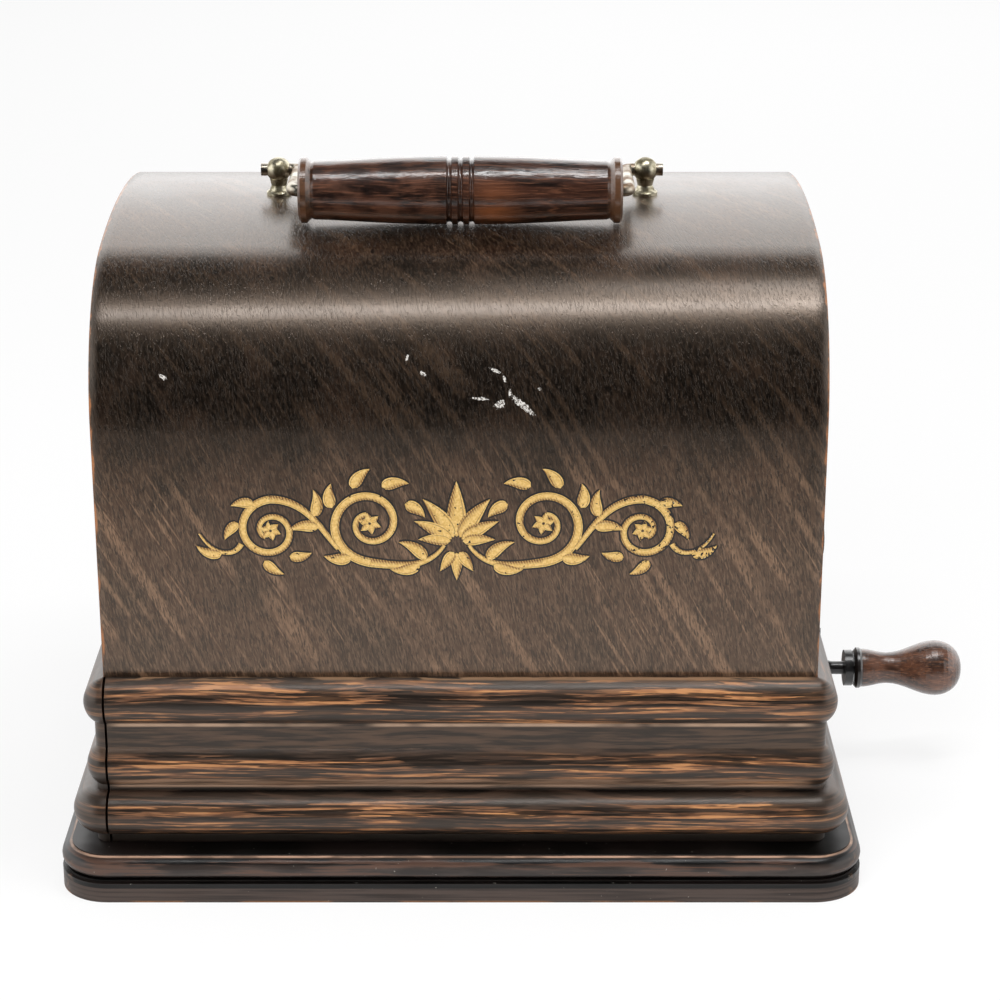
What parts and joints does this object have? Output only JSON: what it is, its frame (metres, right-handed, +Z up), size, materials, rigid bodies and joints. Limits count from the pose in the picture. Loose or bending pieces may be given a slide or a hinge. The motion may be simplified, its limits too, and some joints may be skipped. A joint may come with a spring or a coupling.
{
  "type": "cylinder phonograph",
  "caption": "Small spring-driven cylinder phonograph in an oak carrying case: arched lift-off lid with a hinged handle, moulded base, hanging crank and geared mandrel drive.",
  "frame": {"origin": "centre of the underside of the base, on the surface that the machine stands on", "axes": "+X to the right towards the crank, +Y to the back, +Z up"},
  "size_m": [0.3156, 0.2196, 0.235],
  "materials": {
    "oak_veneer": "dark stained quarter-sawn oak, satin varnish, worn",
    "oak_end": "dark stained oak panel, worn edges",
    "moulding_oak": "dark stained oak mouldings with rubbed orange streaks",
    "base_wood": "nearly black stained oak, glossy",
    "plain_wood": "bare wood inside the case",
    "grip_wood": "glossy red-brown turned wood",
    "knob_wood": "satin brown turned wood",
    "japanned_iron": "glossy black japan",
    "black_steel": "blackened steel",
    "dark_steel": "dull steel screws",
    "bright_steel": "turned steel",
    "spring_steel": "blued spring steel",
    "bail_steel": "worn plated rod with brown rust",
    "aged_nickel": "tarnished nickel plate",
    "nickel_plate": "nickel plate",
    "brass": "lacquered brass",
    "mica": "pale stiff diaphragm"
  },
  "bodies": {
    "base": {"plinth": "base_wood", "base_board": "base_wood", "locating_strips": "plain_wood", "motor_case": "japanned_iron", "case_screws": "dark_steel", "left_motor_plate": "brass", "middle_motor_plate": "brass", "right_motor_plate": "brass", "motor_pillars": "bright_steel", "outer_bearing_stand": "japanned_iron", "inner_bearing_stand": "japanned_iron", "right_bearing_stand": "japanned_iron", "stand_screws": "dark_steel", "back_rod": "bright_steel", "guide_bar": "bright_steel", "crank_bush": "brass"},
    "lid": {"lid_cover": "oak_veneer", "lid_end_left": "oak_end", "lid_end_right": "oak_end", "moulding_front": "moulding_oak", "moulding_back": "moulding_oak", "moulding_left": "moulding_oak", "moulding_right_front": "moulding_oak", "moulding_right_back": "moulding_oak", "roll_front": "moulding_oak", "roll_back": "moulding_oak", "roll_left": "moulding_oak", "roll_right_front": "moulding_oak", "roll_right_back": "moulding_oak", "lid_glue_blocks": "plain_wood", "handle_posts": "aged_nickel"},
    "handle": {"handle_bail": "bail_steel", "handle_grip": "grip_wood"},
    "crank": {"crank_arm": "black_steel", "knob_washer": "black_steel", "winding_shaft": "bright_steel", "ratchet_wheel": "bright_steel"},
    "crank_knob": {"crank_knob": "knob_wood"},
    "click": {"click": "bright_steel"},
    "barrel": {"spring_barrel": "brass", "barrel_cap": "brass", "great_wheel": "brass", "mainspring": "spring_steel"},
    "second_wheel": {"second_arbor": "bright_steel", "second_wheel": "brass"},
    "mandrel": {"mandrel_drum": "nickel_plate", "mandrel_shaft": "bright_steel", "mandrel_gear": "brass"},
    "feed_screw": {"feed_screw": "bright_steel", "feed_gear": "brass"},
    "governor": {"governor_spindle": "bright_steel", "governor_disc": "brass", "governor_weights": "brass", "governor_springs": "spring_steel"},
    "speed_arm": {"speed_arm": "bright_steel"},
    "speed_screw": {"speed_screw": "nickel_plate"},
    "stop_lever": {"stop_lever": "nickel_plate"},
    "carriage": {"carriage_sleeve": "brass"},
    "arm": {"reproducer_arm": "japanned_iron", "half_nut": "brass", "sound_box": "nickel_plate", "diaphragm": "mica"},
    "stylus_weight": {"floating_weight": "nickel_plate", "stylus": "bright_steel"}
  },
  "joints": [
    {"name": "lid_lift", "type": "slide", "parent": "base", "child": "lid", "axis": [0, 0, 1], "range_m": [0, 0.235]},
    {"name": "handle_swing", "type": "hinge", "parent": "lid", "child": "handle", "pos_m": [0, 0, 0.2227], "axis": [-1, 0, 0], "range_deg": [0, 176]},
    {"name": "crank_turn", "type": "hinge", "parent": "base", "child": "crank", "pos_m": [0.1, 0, 0.088], "axis": [1, 0, 0], "continuous": true},
    {"name": "knob_spin", "type": "hinge", "parent": "crank", "child": "crank_knob", "pos_m": [0.16, 0, 0.0368], "axis": [1, 0, 0], "continuous": true},
    {"name": "click_swing", "type": "hinge", "parent": "base", "child": "click", "pos_m": [0.046, -0.00649, 0.10797], "axis": [1, 0, 0], "range_deg": [0, 12], "stiffness_Nm_per_rad": 0.002},
    {"name": "mandrel_spin", "type": "hinge", "parent": "base", "child": "mandrel", "pos_m": [0, -0.014, 0.147], "axis": [1, 0, 0], "continuous": true},
    {"name": "barrel_spin", "type": "hinge", "parent": "base", "child": "barrel", "pos_m": [0, 0, 0.088], "axis": [1, 0, 0], "continuous": true},
    {"name": "second_spin", "type": "hinge", "parent": "base", "child": "second_wheel", "pos_m": [-0.06, -0.01776, 0.1087], "axis": [1, 0, 0], "continuous": true},
    {"name": "feed_spin", "type": "hinge", "parent": "base", "child": "feed_screw", "pos_m": [0, 0.01935, 0.15169], "axis": [1, 0, 0], "continuous": true},
    {"name": "governor_spin", "type": "hinge", "parent": "base", "child": "governor", "pos_m": [-0.04, -0.02063, 0.07595], "axis": [1, 0, 0], "continuous": true},
    {"name": "speed_arm_swing", "type": "hinge", "parent": "base", "child": "speed_arm", "pos_m": [-0.0245, -0.024, 0.098], "axis": [0, 1, 0], "range_deg": [-6, 0], "stiffness_Nm_per_rad": 0.002},
    {"name": "speed_screw_turn", "type": "hinge", "parent": "base", "child": "speed_screw", "pos_m": [-0.036, -0.046, 0.115], "axis": [0, 0, 1], "range_deg": [-180, 180]},
    {"name": "stop_lever_swing", "type": "hinge", "parent": "base", "child": "stop_lever", "pos_m": [-0.03, 0.009, 0.1], "axis": [0, 0, 1], "range_deg": [0, 20]},
    {"name": "carriage_slide", "type": "slide", "parent": "base", "child": "carriage", "axis": [1, 0, 0], "range_m": [0, 0.094]},
    {"name": "arm_lift", "type": "hinge", "parent": "carriage", "child": "arm", "pos_m": [-0.036, 0.052, 0.148], "axis": [-1, 0, 0], "range_deg": [0, 5]},
    {"name": "weight_swing", "type": "hinge", "parent": "arm", "child": "stylus_weight", "pos_m": [-0.036, 0.0024, 0.177], "axis": [1, 0, 0], "range_deg": [-2, 0]}
  ],
  "couplings": [
    {"joint": "second_spin", "follows": "mandrel_spin", "ratio": -0.33333},
    {"joint": "barrel_spin", "follows": "mandrel_spin", "ratio": 0.057471},
    {"joint": "feed_spin", "follows": "mandrel_spin", "ratio": -0.4},
    {"joint": "governor_spin", "follows": "mandrel_spin", "ratio": 2.4}
  ]
}
